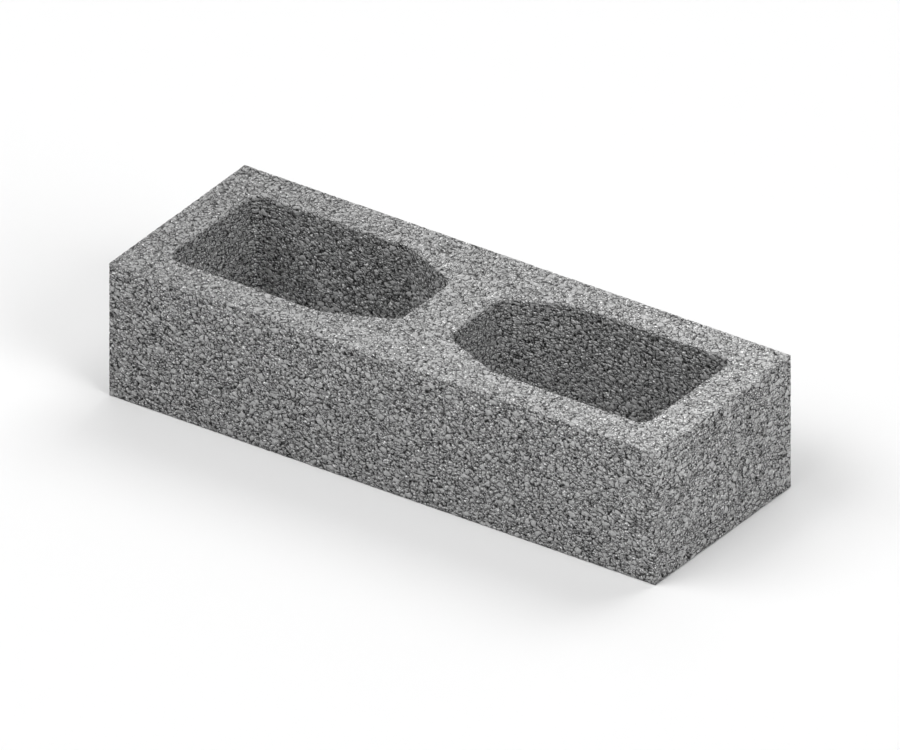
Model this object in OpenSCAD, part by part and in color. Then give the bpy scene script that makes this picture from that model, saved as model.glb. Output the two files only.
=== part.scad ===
// Half-height two-core concrete masonry block, 390 x 140 x 90 mm.
// One moulded piece: two long face shells, two end webs and a centre web,
// with the face shells thickened where they meet the centre web.
// The origin is the middle of the lower bed face. +X runs along the block,
// +Y across it and +Z up. All sizes are in millimetres.

/* [Block] */
// Length of the block, from head face to head face
block_l = 390; // [350:5:450]
// Width of the block, which is the thickness of the wall it makes
block_w = 140; // [130:5:200]
// Height of the block, from bed face to bed face
block_h = 90; // [60:5:190]

/* [Walls at the upper bed face] */
// Thickness of each long face shell
shell_t = 25; // [22:0.5:32]
// Thickness of each end web
end_web_t = 25; // [20:0.5:35]
// Thickness of the centre web
centre_web_t = 35; // [25:0.5:45]

/* [Cores] */
// Length of the flare, where the face shell thickens towards the centre web
flare_l = 43; // [20:0.5:50]
// How much each face shell has thickened where it meets the centre web
flare_d = 18.5; // [8:0.5:20]
// Corner radius where a face shell meets an end web
outer_r = 7; // [3:0.5:12]
// Radius where the flare begins
flare_r = 12; // [4:0.5:20]
// Corner radius where the flare meets the centre web
inner_r = 10; // [3:0.5:12]
// How far each core wall draws back from the upper bed face to the lower one, so that the mould strips
core_draft = 1.5; // [0:0.25:3]

/* [Hidden] */

// The cut runs this far past both bed faces.
past = 1;
z_low = -past;
z_high = block_h + past;
// How far a core wall stands back from its place at the upper bed face, at height z.
function drawn_back(z) = core_draft * (block_h - z) / block_h;
draw_low = drawn_back(z_low) - drawn_back(z_high);

// One core's plan outline at the upper bed face with sharp corners, anticlockwise.
x_in = centre_web_t / 2;
x_out = block_l / 2 - end_web_t;
y_side = block_w / 2 - shell_t;
y_in = y_side - flare_d;
corner = [
    [x_out, -y_side], [x_out, y_side],
    [x_in + flare_l, y_side], [x_in, y_in],
    [x_in, -y_in], [x_in + flare_l, -y_side]
];
corner_r = [outer_r, outer_r, flare_r, inner_r, inner_r, flare_r];
last = len(corner) - 1;

function unit(v) = v / norm(v);
// Edge i runs from corner i to the next one.
function along(i) = unit(corner[(i + 1) % (last + 1)] - corner[i]);
// Outward normal of edge i.
function out(i) = [along(i).y, -along(i).x];
function before(i) = i == 0 ? last : i - 1;
function after(i) = i == last ? 0 : i + 1;
// Centre of the fillet at corner i, which both of its edges touch.
function centre(i) = corner[i] - (out(before(i)) + out(i)) * corner_r[i] / (1 + out(before(i)) * out(i));
// Fillet radius of corner i at the top of the cut.
function radius(i) = corner_r[i] + drawn_back(z_high);
// Where edge i leaves the fillet behind it, and where it meets the one ahead, at the top of the cut.
function start_of(i) = centre(i) + out(i) * radius(i);
function end_of(i) = centre(after(i)) + out(i) * radius(after(i));

// The straight part of a core, inside its drawn-back walls.
module core_middle() {
    translate([0, 0, z_low])
        linear_extrude(z_high - z_low)
            polygon([for (i = [0 : last]) each [end_of(before(i)), start_of(i)]]);
}

// The wedge that draws flat wall i back towards the lower bed face.
module core_wall(i) {
    translate([start_of(i).x, start_of(i).y, z_low])
        rotate([0, 0, atan2(along(i).y, along(i).x)])
            rotate([90, 0, 90])
                linear_extrude(norm(end_of(i) - start_of(i)))
                    polygon([[0, 0], [0, z_high - z_low], [-draw_low, 0]]);
}

// The fillet between two walls, a cone because the walls are drawn back.
module core_corner(i) {
    translate([centre(i).x, centre(i).y, z_low])
        cylinder(h = z_high - z_low, r1 = radius(i) + draw_low, r2 = radius(i), $fn = 96);
}

module core() {
    union() {
        core_middle();
        for (i = [0 : last]) core_corner(i);
        if (core_draft > 0)
            for (i = [0 : last]) core_wall(i);
    }
}

module block() {
    color([0.45, 0.45, 0.45])
        difference() {
            translate([-block_l / 2, -block_w / 2, 0])
                cube([block_l, block_w, block_h]);
            core();
            mirror([1, 0, 0]) core();
        }
}

block();
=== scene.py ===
"""Half-height two-core concrete masonry block: its moulded open-texture surface, a pale studio floor, soft light
and a parallel camera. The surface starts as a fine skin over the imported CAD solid, gets its relief from the same
node pattern that the material reads, and is thinned to the triangle limit."""

import math

import bpy
import numpy as np
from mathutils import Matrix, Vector


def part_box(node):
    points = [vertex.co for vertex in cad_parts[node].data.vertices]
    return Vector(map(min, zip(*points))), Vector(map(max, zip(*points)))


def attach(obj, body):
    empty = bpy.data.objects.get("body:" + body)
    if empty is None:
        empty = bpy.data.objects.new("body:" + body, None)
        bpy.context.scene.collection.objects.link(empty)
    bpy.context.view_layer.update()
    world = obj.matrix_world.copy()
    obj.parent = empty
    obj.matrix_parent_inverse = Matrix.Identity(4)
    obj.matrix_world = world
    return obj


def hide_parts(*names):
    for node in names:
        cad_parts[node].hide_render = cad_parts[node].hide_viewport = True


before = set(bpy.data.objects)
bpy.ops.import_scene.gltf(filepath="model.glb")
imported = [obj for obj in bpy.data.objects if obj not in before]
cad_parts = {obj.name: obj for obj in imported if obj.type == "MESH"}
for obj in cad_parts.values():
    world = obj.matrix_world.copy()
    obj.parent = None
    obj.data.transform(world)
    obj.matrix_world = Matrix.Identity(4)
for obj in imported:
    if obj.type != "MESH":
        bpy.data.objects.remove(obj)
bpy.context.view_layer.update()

MM = 0.001
LO, HI = (np.array(v, float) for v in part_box("block"))
L, W, H = HI - LO
MID = (LO + HI) / 2

SKIN = 0.8 * MM  # spacing of the fine skin, before it is thinned
TRIANGLES = 196_000
GREY = 0.72  # the colour of a clean, flat grain
WEAR = 3  # smoothing passes that round the arrises

# The view is parallel: this far round from the front, and this far above the horizon.
AZIMUTH, ELEVATION = math.radians(34.71), math.radians(30.2)

scene = bpy.context.scene


# ---------------------------------------------------------------------------------------------------------------
# Node trees
# ---------------------------------------------------------------------------------------------------------------
class Tree:
    """Short names for the nodes that a shader tree and a geometry tree have in common."""

    def __init__(self, tree):
        self.tree = tree
        self.count = 0

    def node(self, kind, **values):
        n = self.tree.nodes.new(kind)
        n.location = (220 * (self.count % 12), -260 * (self.count // 12))
        self.count += 1
        for k, v in values.items():
            setattr(n, k, v)
        return n

    def put(self, socket, value):
        if isinstance(value, bpy.types.NodeSocket):
            self.tree.links.new(value, socket)
        elif value is not None:
            socket.default_value = value

    def math(self, operation, a, b=None, c=None, clamp=False):
        n = self.node("ShaderNodeMath", operation=operation, use_clamp=clamp)
        for socket, value in zip(n.inputs, (a, b, c), strict=False):
            self.put(socket, value)
        return n.outputs[0]

    def add(self, a, b):
        return self.math("ADD", a, b)

    def sub(self, a, b):
        return self.math("SUBTRACT", a, b)

    def mul(self, a, b):
        return self.math("MULTIPLY", a, b)

    def total(self, *terms):
        out = terms[0]
        for t in terms[1:]:
            out = self.add(out, t)
        return out

    def vmath(self, operation, a, b=None, scale=None):
        n = self.node("ShaderNodeVectorMath", operation=operation)
        self.put(n.inputs[0], a)
        if b is not None:
            self.put(n.inputs[1], b)
        if scale is not None:
            self.put(n.inputs["Scale"], scale)
        return n.outputs[0]

    def ramp(self, value, from_min, from_max, to_min=0.0, to_max=1.0, smooth=True):
        n = self.node(
            "ShaderNodeMapRange",
            interpolation_type="SMOOTHSTEP" if smooth else "LINEAR",
            clamp=True,
        )
        for socket, v in zip(
            n.inputs, (value, from_min, from_max, to_min, to_max), strict=False
        ):
            self.put(socket, v)
        return n.outputs[0]

    def noise(self, at, size, detail=2.0, rough=0.5):
        """Noise whose blobs are about size millimetres across: its value and its three-way colour."""
        n = self.node("ShaderNodeTexNoise", noise_dimensions="3D")
        self.put(n.inputs["Vector"], at)
        n.inputs["Scale"].default_value = 1.0 / size
        n.inputs["Detail"].default_value = detail
        n.inputs["Roughness"].default_value = rough
        return n.outputs[0], n.outputs[1]

    def cells(self, at, size, feature="F1", random=1.0):
        n = self.node("ShaderNodeTexVoronoi", voronoi_dimensions="3D", feature=feature)
        self.put(n.inputs["Vector"], at)
        n.inputs["Scale"].default_value = 1.0 / size
        n.inputs["Randomness"].default_value = random
        return n

    def mix(self, factor, a, b):
        """a where factor is 0 and b where it is 1."""
        n = self.node("ShaderNodeMix", data_type="FLOAT")
        for socket, value in zip(n.inputs[:1] + n.inputs[2:4], (factor, a, b), strict=True):
            self.put(socket, value)
        return n.outputs[0]

    def parts(self, vector):
        n = self.node("ShaderNodeSeparateXYZ")
        self.put(n.inputs[0], vector)
        return n.outputs[0], n.outputs[1], n.outputs[2]


def pattern(t, place):
    """The concrete's pattern at a place in metres. Lengths are in millimetres. The mix is lean: flat pebbles of about
    5 mm lie in grains of about 2.5 mm and coarse sand, and the gaps between them open and close."""
    # The block is pressed from above, so its grains lie flat and its gaps run level.
    p = t.vmath("MULTIPLY", place, (1100.0, 1060.0, 1400.0))
    bend = t.vmath("SUBTRACT", t.noise(p, 5.0, 2.0)[1], (0.5, 0.5, 0.5))
    crook = t.vmath("SUBTRACT", t.noise(p, 1.6, 2.0)[1], (0.5, 0.5, 0.5))
    pa = t.vmath("ADD", p, t.vmath("SCALE", bend, scale=3.2))
    pa = t.vmath("ADD", pa, t.vmath("SCALE", crook, scale=1.1))
    pb = t.vmath("ADD", p, t.vmath("SCALE", bend, scale=1.5))
    pb = t.vmath("ADD", pb, t.vmath("SCALE", crook, scale=1.1))
    pc = t.vmath("ADD", p, t.vmath("SCALE", crook, scale=0.7))

    blotch, _ = t.noise(p, 25.0, 2.0, 0.5)
    open_a, _ = t.noise(t.vmath("ADD", p, (31.0, 17.0, 5.0)), 2.6, 1.0)
    open_b, _ = t.noise(t.vmath("ADD", p, (11.0, 7.0, 45.0)), 1.7, 1.0)
    fine, _ = t.noise(p, 0.95, 1.0, 0.5)

    def grain(at, size):
        """How far a point is from its grain's edge, how high up the grain it is, and three random numbers for the
        grain."""
        edge = t.mul(t.cells(at, size, "DISTANCE_TO_EDGE").outputs["Distance"], size)
        near = t.cells(at, size)
        off = t.parts(t.vmath("SUBTRACT", at, near.outputs["Position"]))[2]
        return edge, t.mul(off, 1.0 / size), t.parts(near.outputs["Color"])

    def seam(edge, half):
        """A crisp seam, half as wide to each side of an edge; the relief sinks it and the colour darkens it as
        painted shade.
        """
        return t.sub(1.0, t.ramp(edge, t.mul(half, 0.35), t.add(half, 0.03)))

    edge_a, up_a, (a1, a2, a3) = grain(pa, 4.4)
    edge_b, up_b, (b1, b2, b3) = grain(pb, 2.05)
    edge_c, up_c, (c1, c2, c3) = grain(pc, 1.15)

    pebble = t.mul(t.ramp(a1, 0.79, 0.80), t.ramp(edge_a, 0.10, 0.45))
    sandy = t.sub(1.0, pebble)
    crack = seam(edge_a, t.ramp(open_a, 0.36, 0.64, 0.04, 0.43))
    gap = seam(edge_b, t.ramp(open_b, 0.31, 0.69, 0.03, 0.30))
    gap = t.mul(gap, t.ramp(sandy, 0.0, 1.0, 0.12, 1.0))
    grit = t.mul(t.sub(1.0, t.ramp(edge_c, 0.02, 0.26)), sandy)
    lump = t.ramp(edge_a, 0.0, 1.0)
    dome = t.mul(t.ramp(edge_b, 0.0, 0.65), sandy)
    # Here and there a grain is missing, and a few grains of sand are pale; the material brightens them further as
    # painted glints.
    pit = t.mul(t.ramp(b1, 0.965, 0.975), t.ramp(edge_b, 0.0, 0.35))
    pale_grain_glint = t.mul(t.ramp(c1, 0.90, 0.91), t.ramp(edge_c, 0.0, 0.18))
    pale_grain_glint = t.mul(pale_grain_glint, t.ramp(sandy, 0.0, 1.0, 0.25, 1.0))
    return dict(
        blotch=blotch,
        fine=fine,
        pebble=pebble,
        sandy=sandy,
        shade_a=a2,
        shade_b=b2,
        shade_c=c2,
        up_a=up_a,
        up_b=up_b,
        up_c=up_c,
        level_a=a3,
        level_b=b3,
        level_c=c3,
        lump=lump,
        dome=dome,
        crack=crack,
        gap=gap,
        grit=grit,
        pit=pit,
        pale_grain_glint=pale_grain_glint,
    )


# ---------------------------------------------------------------------------------------------------------------
# The block's surface
# ---------------------------------------------------------------------------------------------------------------
def modifier(ob, kind, **values):
    m = ob.modifiers.new(kind.lower(), kind)
    for k, v in values.items():
        setattr(m, k, v)
    return m


def applied(ob, name):
    """ob's mesh with its modifiers applied, as a new mesh, and ob wears it from now on."""
    dg = bpy.context.evaluated_depsgraph_get()
    mesh = bpy.data.meshes.new_from_object(
        ob.evaluated_get(dg), preserve_all_data_layers=True, depsgraph=dg
    )
    old = ob.data
    ob.modifiers.clear()
    ob.data = mesh
    bpy.data.meshes.remove(old)
    mesh.name = name
    return mesh


def read(items, name, width=1, kind=np.float32):
    out = np.empty(len(items) * width, kind)
    items.foreach_get(name, out)
    return out.reshape(-1, width) if width > 1 else out


def write(mesh, name, values):
    """Sets a named vector on each vertex."""
    layer = mesh.attributes.get(name) or mesh.attributes.new(
        name, "FLOAT_VECTOR", "POINT"
    )
    layer.data.foreach_set("vector", np.ascontiguousarray(values, np.float32).ravel())


def smoothing(co, edges, passes):
    """Moves each vertex to the mean of its neighbours, which rounds the arrises and leaves the flats."""
    count = np.maximum(np.bincount(edges.ravel(), minlength=len(co)), 1)[:, None]
    for _ in range(passes):
        near = np.stack(
            [
                np.bincount(edges[:, 0], co[edges[:, 1], k], len(co))
                + np.bincount(edges[:, 1], co[edges[:, 0], k], len(co))
                for k in range(3)
            ],
            1,
        )
        co = 0.5 * co + 0.5 * near / count
    return co


def relief_group():
    """Geometry nodes that sink each point of the skin by the pattern's depth there."""
    g = bpy.data.node_groups.new("relief", "GeometryNodeTree")
    g.interface.new_socket("Geometry", in_out="INPUT", socket_type="NodeSocketGeometry")
    g.interface.new_socket(
        "Geometry", in_out="OUTPUT", socket_type="NodeSocketGeometry"
    )
    t = Tree(g)
    start, end = t.node("NodeGroupInput"), t.node("NodeGroupOutput")
    place = t.node("GeometryNodeInputNamedAttribute", data_type="FLOAT_VECTOR")
    place.inputs["Name"].default_value = "rest"
    inward = t.node("GeometryNodeInputNamedAttribute", data_type="FLOAT_VECTOR")
    inward.inputs["Name"].default_value = "inward"
    k = pattern(t, place.outputs["Attribute"])
    depth = t.total(
        t.mul(k["crack"], 0.45),
        t.mul(k["gap"], 0.18),
        t.mul(k["pit"], 0.60),
        t.mul(t.sub(1.0, k["lump"]), 0.16),
        t.mul(t.mul(k["level_b"], k["sandy"]), 0.14),
        t.mul(k["level_a"], 0.12),
    )
    depth = t.math("MAXIMUM", depth, 0.0)
    step = t.vmath("SCALE", inward.outputs["Attribute"], scale=t.mul(depth, MM))
    move = t.node("GeometryNodeSetPosition")
    g.links.new(start.outputs[0], move.inputs["Geometry"])
    g.links.new(step, move.inputs["Offset"])
    g.links.new(move.outputs[0], end.inputs[0])
    return g


def core_outline(count=240):
    """Points round the right-hand core at the upper bed face, in the row frame."""
    sx, sy = L / 0.390, W / 0.140
    corners = [
        (170.0, -45.0, 7.0),
        (170.0, 45.0, 7.0),
        (60.5, 45.0, 12.0),
        (17.5, 26.5, 10.0),
        (17.5, -26.5, 10.0),
        (60.5, -45.0, 12.0),
    ]
    out = []
    for i, (x, y, r) in enumerate(corners):
        here = np.array((x, y))
        back = np.array(corners[i - 1][:2]) - here
        on = np.array(corners[(i + 1) % len(corners)][:2]) - here
        back, on = back / np.linalg.norm(back), on / np.linalg.norm(on)
        half = math.acos(float(np.clip(back @ on, -1, 1))) / 2
        reach = r / math.tan(half)
        middle = here + (back + on) / np.linalg.norm(back + on) * r / math.sin(half)
        first, last = here + back * reach - middle, here + on * reach - middle
        a0, a1 = math.atan2(*first[::-1]), math.atan2(*last[::-1])
        turn = (a1 - a0 + math.pi) % (2 * math.pi) - math.pi
        for f in np.linspace(0, 1, 7):
            a = a0 + turn * f
            out.append(middle + r * np.array((math.cos(a), math.sin(a))))
    out = np.array(out + out[:1]) * MM * (sx, sy)
    along = np.r_[0, np.cumsum(np.linalg.norm(np.diff(out, axis=0), axis=1))]
    at = np.linspace(0, along[-1], count + 1)
    return (
        np.stack([np.interp(at, along, out[:, k]) for k in range(2)], 1) + MID[:2],
        at,
    )


def way_round(points):
    """How far round the right-hand core each point lies, in metres."""
    line, at = core_outline()
    a, b = line[:-1], line[1:]
    ab = b - a
    best = np.full(len(points), np.inf)
    found = np.zeros(len(points))
    for i in range(len(a)):
        t = ((points - a[i]) @ ab[i] / (ab[i] @ ab[i])).clip(0, 1)
        d = ((points - a[i] - t[:, None] * ab[i]) ** 2).sum(1)
        closer = d < best
        best[closer] = d[closer]
        found[closer] = at[i] + t[closer] * (at[i + 1] - at[i])
    return found, at[-1]


def lay_out(mesh):
    """One map for the whole surface: each flat face and each unrolled core wall is a chart, all to one scale."""
    rest = np.empty(len(mesh.vertices) * 3, np.float32)
    mesh.attributes["rest"].data.foreach_get("vector", rest)
    rest = rest.reshape(-1, 3).astype(float)
    corner = read(mesh.loops, "vertex_index", kind=np.int32)
    face = corner.reshape(-1, 3)
    a, b, c = (rest[face[:, k]] for k in range(3))
    n = np.cross(b - a, c - a)
    n /= np.maximum(np.linalg.norm(n, axis=1, keepdims=True), 1e-12)
    m = (a + b + c) / 3
    near = 2.5 * MM
    flat = np.abs(n[:, 2]) > 0.70
    chart = np.full(len(face), -1)
    chart[flat & (m[:, 2] > MID[2])] = 0
    chart[flat & (m[:, 2] < MID[2])] = 1
    wall = ~flat
    ends = wall & (np.abs(n[:, 0]) > np.abs(n[:, 1]))
    sides = wall & ~ends
    chart[sides & (m[:, 1] < LO[1] + near)] = 2
    chart[sides & (m[:, 1] > HI[1] - near)] = 3
    chart[ends & (m[:, 0] > HI[0] - near)] = 4
    chart[ends & (m[:, 0] < LO[0] + near)] = 5
    chart[(chart < 0) & (m[:, 0] > MID[0])] = 6
    chart[(chart < 0)] = 7
    p = rest[face.ravel()]
    which = np.repeat(chart, 3)
    x, y, z = p[:, 0] - LO[0], p[:, 1] - LO[1], p[:, 2] - LO[2]
    gap = 2.2 * MM
    u, v = np.zeros(len(p)), np.zeros(len(p))
    # left-hand column: both bed faces, then both long faces
    rows = {0: (x, y), 1: (x, W - y), 2: (x, z), 3: (L - x, z)}
    low = gap
    for k, height in ((0, W), (1, W), (2, H), (3, H)):
        on = which == k
        u[on], v[on] = gap + rows[k][0][on], low + rows[k][1][on]
        low += height + gap
    # above it: the two ends, lying side by side
    for i, k in enumerate((4, 5)):
        on = which == k
        across = y if k == 4 else W - y
        u[on], v[on] = gap + i * (W + gap) + across[on], low + z[on]
    tall = low + H + gap
    # beside it: the two core walls, unrolled upwards
    for i, k in enumerate((6, 7)):
        on = which == k
        q = p[on].copy()
        if k == 7:
            q[:, 0] = 2 * MID[0] - q[:, 0]
        s, whole = way_round(q[:, :2])
        s = s.reshape(-1, 3)
        s[(s < whole / 2) & (np.ptp(s, axis=1) > whole / 2)[:, None]] += whole
        u[on] = gap + L + gap + i * (H + gap) + z[on]
        v[on] = gap + s.ravel()
    wide = gap + L + gap + 2 * (H + gap)
    size = max(wide, tall)
    layer = mesh.uv_layers.new(name="OFBake", do_init=False)
    layer.uv.foreach_set(
        "vector", np.stack([u / size, v / size], 1).astype(np.float32).ravel()
    )
    mesh.uv_layers.active = layer
    layer.active_render = True


def make_block():
    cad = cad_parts["block"]
    mesh = cad.data.copy()
    mesh.transform(cad.matrix_world)
    ob = bpy.data.objects.new("block_concrete", mesh)
    scene.collection.objects.link(ob)
    modifier(ob, "REMESH", mode="VOXEL", voxel_size=SKIN, adaptivity=0.0)
    mesh = applied(ob, "skin")

    # The voxels leave a narrow chamfer along each arris; smoothing rounds it.
    co = read(mesh.vertices, "co", 3).astype(float)
    edges = read(mesh.edges, "vertices", 2, np.int32)
    co = smoothing(co, edges, WEAR).clip(LO, HI)
    mesh.vertices.foreach_set("co", co.astype(np.float32).ravel())
    mesh.update()
    normals = read(mesh.vertices, "normal", 3).astype(float)
    normals = smoothing(normals, edges, 2)
    # The relief fades at the arrises, where the normals round about disagree, so that they stay straight.
    spread = np.linalg.norm(smoothing(normals, edges, 10), axis=1, keepdims=True)
    fade = ((spread - 0.70) / 0.28).clip(0.0, 1.0)
    normals /= np.maximum(np.linalg.norm(normals, axis=1, keepdims=True), 1e-9)
    write(mesh, "rest", co)
    write(mesh, "inward", -normals * fade)

    relief = modifier(ob, "NODES")
    relief.node_group = relief_group()
    mesh = applied(ob, "relief")
    bpy.data.node_groups.remove(bpy.data.node_groups["relief"])
    count = sum(len(p.vertices) - 2 for p in mesh.polygons)
    modifier(
        ob,
        "DECIMATE",
        decimate_type="COLLAPSE",
        ratio=TRIANGLES / count,
        use_collapse_triangulate=True,
    )
    mesh = applied(ob, "block_concrete")
    mesh.attributes.remove(mesh.attributes["inward"])
    co = read(mesh.vertices, "co", 3).astype(float).clip(LO, HI)
    mesh.vertices.foreach_set("co", co.astype(np.float32).ravel())
    mesh.update()
    mesh.shade_smooth()
    lay_out(mesh)
    mesh.materials.clear()
    return ob


# ---------------------------------------------------------------------------------------------------------------
# Material
# ---------------------------------------------------------------------------------------------------------------
def concrete():
    mat = bpy.data.materials.new("concrete_surface")
    mat.use_nodes = True
    nt = mat.node_tree
    nt.nodes.clear()
    t = Tree(nt)
    out = t.node("ShaderNodeOutputMaterial")
    bsdf = t.node("ShaderNodeBsdfPrincipled")
    nt.links.new(bsdf.outputs[0], out.inputs["Surface"])
    place = t.node("ShaderNodeAttribute", attribute_name="rest")
    k = pattern(t, place.outputs["Vector"])

    def about(value, amount):
        """value, from 0 to 1, as a factor round 1."""
        return t.ramp(value, 0.0, 1.0, 1 - amount, 1 + amount, smooth=False)

    def among(value, amount):
        """The same, where the surface is sand rather than a pebble."""
        return t.add(1.0, t.mul(t.mul(t.sub(value, 0.5), 2 * amount), k["sandy"]))

    # A pebble is as dark as the sand round it is on average, gaps and all.
    tone = t.ramp(k["pebble"], 0.0, 1.0, 1.0, 0.66)
    tone = t.mul(tone, t.mul(about(k["shade_a"], 0.05), among(k["shade_b"], 0.07)))
    tone = t.mul(tone, among(k["shade_c"], 0.20))
    tone = t.mul(tone, t.ramp(k["blotch"], 0.25, 0.75, 0.97, 1.03))
    tone = t.mul(tone, t.ramp(k["fine"], 0.30, 0.70, 0.76, 1.24, smooth=False))
    # Painted light and shade: the upper bed is painted paler than the moulded faces, one end paler still, and the
    # foot of the upright faces is painted a little darker.
    x, y, z = t.parts(place.outputs["Vector"])
    high = t.add(z, t.mul(t.sub(k["fine"], 0.5), 3.0 * MM))
    bed = t.ramp(high, float(HI[2]) - 1.6 * MM, float(HI[2]) - 0.4 * MM)
    end = t.ramp(x, float(LO[0]), float(HI[0]), 0.0, 1.0, smooth=False)
    painted_foot_shade = t.ramp(z, float(LO[2]), float(HI[2]), 0.91, 1.05, smooth=False)
    painted_light = t.mix(
        bed,
        t.mul(painted_foot_shade, t.ramp(end, 0, 1, 0.94, 1.05, smooth=False)),
        t.ramp(end, 0, 1, 0.82, 1.22, smooth=False),
    )
    # On the upright faces the top of each grain is painted lighter and its underside darker: painted light and shade
    # from above.
    upright = t.mul(t.sub(1.0, bed), t.ramp(z, float(LO[2]) + 0.3 * MM, float(LO[2]) + 1.5 * MM))
    painted_grain_light = t.total(
        t.mul(k["up_a"], 0.30),
        t.mul(t.mul(k["up_b"], k["sandy"]), 0.60),
        t.mul(t.mul(k["up_c"], k["sandy"]), 0.40),
    )
    tone = t.mul(tone, t.add(1.0, t.mul(painted_grain_light, upright)))
    # Painted shade: the cracks, gaps, edges of the sand grains and pits are darkened as shade in the hollows, a
    # little less on the upper bed.
    hollow_shade_depth = t.mix(bed, 1.0, 0.84)
    dark = 1.0
    for name, amount in (("crack", 0.95), ("gap", 0.88), ("grit", 0.45), ("pit", 0.60)):
        dark = t.mul(dark, t.sub(1.0, t.mul(k[name], t.mul(hollow_shade_depth, amount))))
    grey = t.mul(t.mul(t.mul(tone, dark), painted_light), GREY)
    # Pale grains of sand, brightened further as painted glints.
    grey = t.add(grey, t.mul(t.mul(k["pale_grain_glint"], painted_light), 0.50))
    colour = t.node("ShaderNodeCombineColor")
    for socket in colour.inputs:
        t.put(socket, grey)
    nt.links.new(colour.outputs[0], bsdf.inputs["Base Color"])

    rough = t.total(
        0.80, t.mul(k["gap"], 0.15), t.mul(k["pale_grain_glint"], -0.35), t.mul(k["pebble"], -0.08)
    )
    t.put(bsdf.inputs["Roughness"], rough)
    bsdf.inputs["Specular IOR Level"].default_value = 0.4

    height = t.total(
        t.mul(k["crack"], -0.80),
        t.mul(k["gap"], -0.60),
        t.mul(k["grit"], -0.20),
        t.mul(k["pit"], -0.50),
        t.mul(k["lump"], 0.30),
        t.mul(k["dome"], 0.45),
        t.mul(k["fine"], 1.10),
        t.mul(t.mul(k["level_c"], k["sandy"]), 0.20),
    )
    bump = t.node("ShaderNodeBump")
    bump.inputs["Strength"].default_value = 1.0
    bump.inputs["Filter Width"].default_value = 1.0
    bump.inputs["Distance"].default_value = MM
    nt.links.new(height, bump.inputs["Height"])
    nt.links.new(bump.outputs[0], bsdf.inputs["Normal"])
    return mat


block = make_block()
block.data.materials.append(concrete())
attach(block, "root")
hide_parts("block")


# ---------------------------------------------------------------------------------------------------------------
# Floor, light and camera
# ---------------------------------------------------------------------------------------------------------------
def floor():
    mesh = bpy.data.meshes.new("studio_floor")
    r = 6.0
    z = float(LO[2])
    mesh.from_pydata(
        [(-r, -r, z), (r, -r, z), (r, r, z), (-r, r, z)], [], [(0, 1, 2, 3)]
    )
    ob = bpy.data.objects.new("studio_floor", mesh)
    scene.collection.objects.link(ob)
    mat = bpy.data.materials.new("studio_floor")
    mat.use_nodes = True
    bsdf = mat.node_tree.nodes["Principled BSDF"]
    bsdf.inputs["Base Color"].default_value = (0.86, 0.86, 0.86, 1)
    bsdf.inputs["Roughness"].default_value = 1.0
    bsdf.inputs["Specular IOR Level"].default_value = 0.0
    mesh.materials.append(mat)
    return ob


def lamp(name, around, above, strength, wide=34.0):
    """A soft white lamp far away. around is counted in degrees from the camera's side towards its right, above is
    its height in degrees, and wide is how much of the sky it fills."""
    right = Vector((math.cos(AZIMUTH), math.sin(AZIMUTH), 0))
    near = Vector((math.sin(AZIMUTH), -math.cos(AZIMUTH), 0))
    a, e = math.radians(around), math.radians(above)
    towards = (near * math.cos(a) + right * math.sin(a)) * math.cos(e)
    towards.z = math.sin(e)
    data = bpy.data.lights.new(name, "SUN")
    data.angle = math.radians(wide)
    data.energy = math.pi * strength
    ob = bpy.data.objects.new(name, data)
    ob.location = towards * 3.0
    ob.rotation_euler = (-towards).to_track_quat("-Z", "Y").to_euler()
    scene.collection.objects.link(ob)
    return ob


def sky(light, seen):
    """An even white surround: light lights the scene, seen is what a camera sees past the floor."""
    world = bpy.data.worlds.new("studio")
    scene.world = world
    world.use_nodes = True
    nt = world.node_tree
    nt.nodes.clear()
    out = nt.nodes.new("ShaderNodeOutputWorld")
    mix = nt.nodes.new("ShaderNodeMixShader")
    path = nt.nodes.new("ShaderNodeLightPath")
    a, b = nt.nodes.new("ShaderNodeBackground"), nt.nodes.new("ShaderNodeBackground")
    a.inputs["Strength"].default_value = light
    b.inputs["Strength"].default_value = seen
    for n in (a, b):
        n.inputs["Color"].default_value = (1, 1, 1, 1)
    nt.links.new(path.outputs["Is Camera Ray"], mix.inputs[0])
    nt.links.new(a.outputs[0], mix.inputs[1])
    nt.links.new(b.outputs[0], mix.inputs[2])
    nt.links.new(mix.outputs[0], out.inputs["Surface"])


floor()
sky(0.0, 1.02)
lamp("key_right", 45, 30, 0.344)
lamp("fill_right", 45, 52, 0.105)
lamp("fill_left", 315, 52, 0.290)
lamp("side_left", 270, 52, 0.290)
lamp("low_left", 270, 30, 0.060)
lamp("rim_right", 135, 52, 0.308)
lamp("low_rim_right", 135, 30, 0.078)
lamp("back", 180, 52, 0.091)
lamp("low_back", 180, 30, 0.036)
lamp("overhead", 0, 90, 0.051, wide=50.0)

scene.view_settings.view_transform = "Standard"
scene.view_settings.look = "None"
scene.view_settings.exposure = 0.0
scene.view_settings.gamma = 1.0

back = Vector(
    (
        math.sin(AZIMUTH) * math.cos(ELEVATION),
        -math.cos(AZIMUTH) * math.cos(ELEVATION),
        math.sin(ELEVATION),
    )
)
data = bpy.data.cameras.new("camera")
data.type = "ORTHO"
data.ortho_scale = 0.5268 * L / 0.390
data.clip_start, data.clip_end = 0.01, 50.0
camera = bpy.data.objects.new("camera", data)
camera.location = Vector(MID) + back * 2.0
camera.rotation_euler = (-back).to_track_quat("-Z", "Y").to_euler()
scene.collection.objects.link(camera)
scene.camera = camera
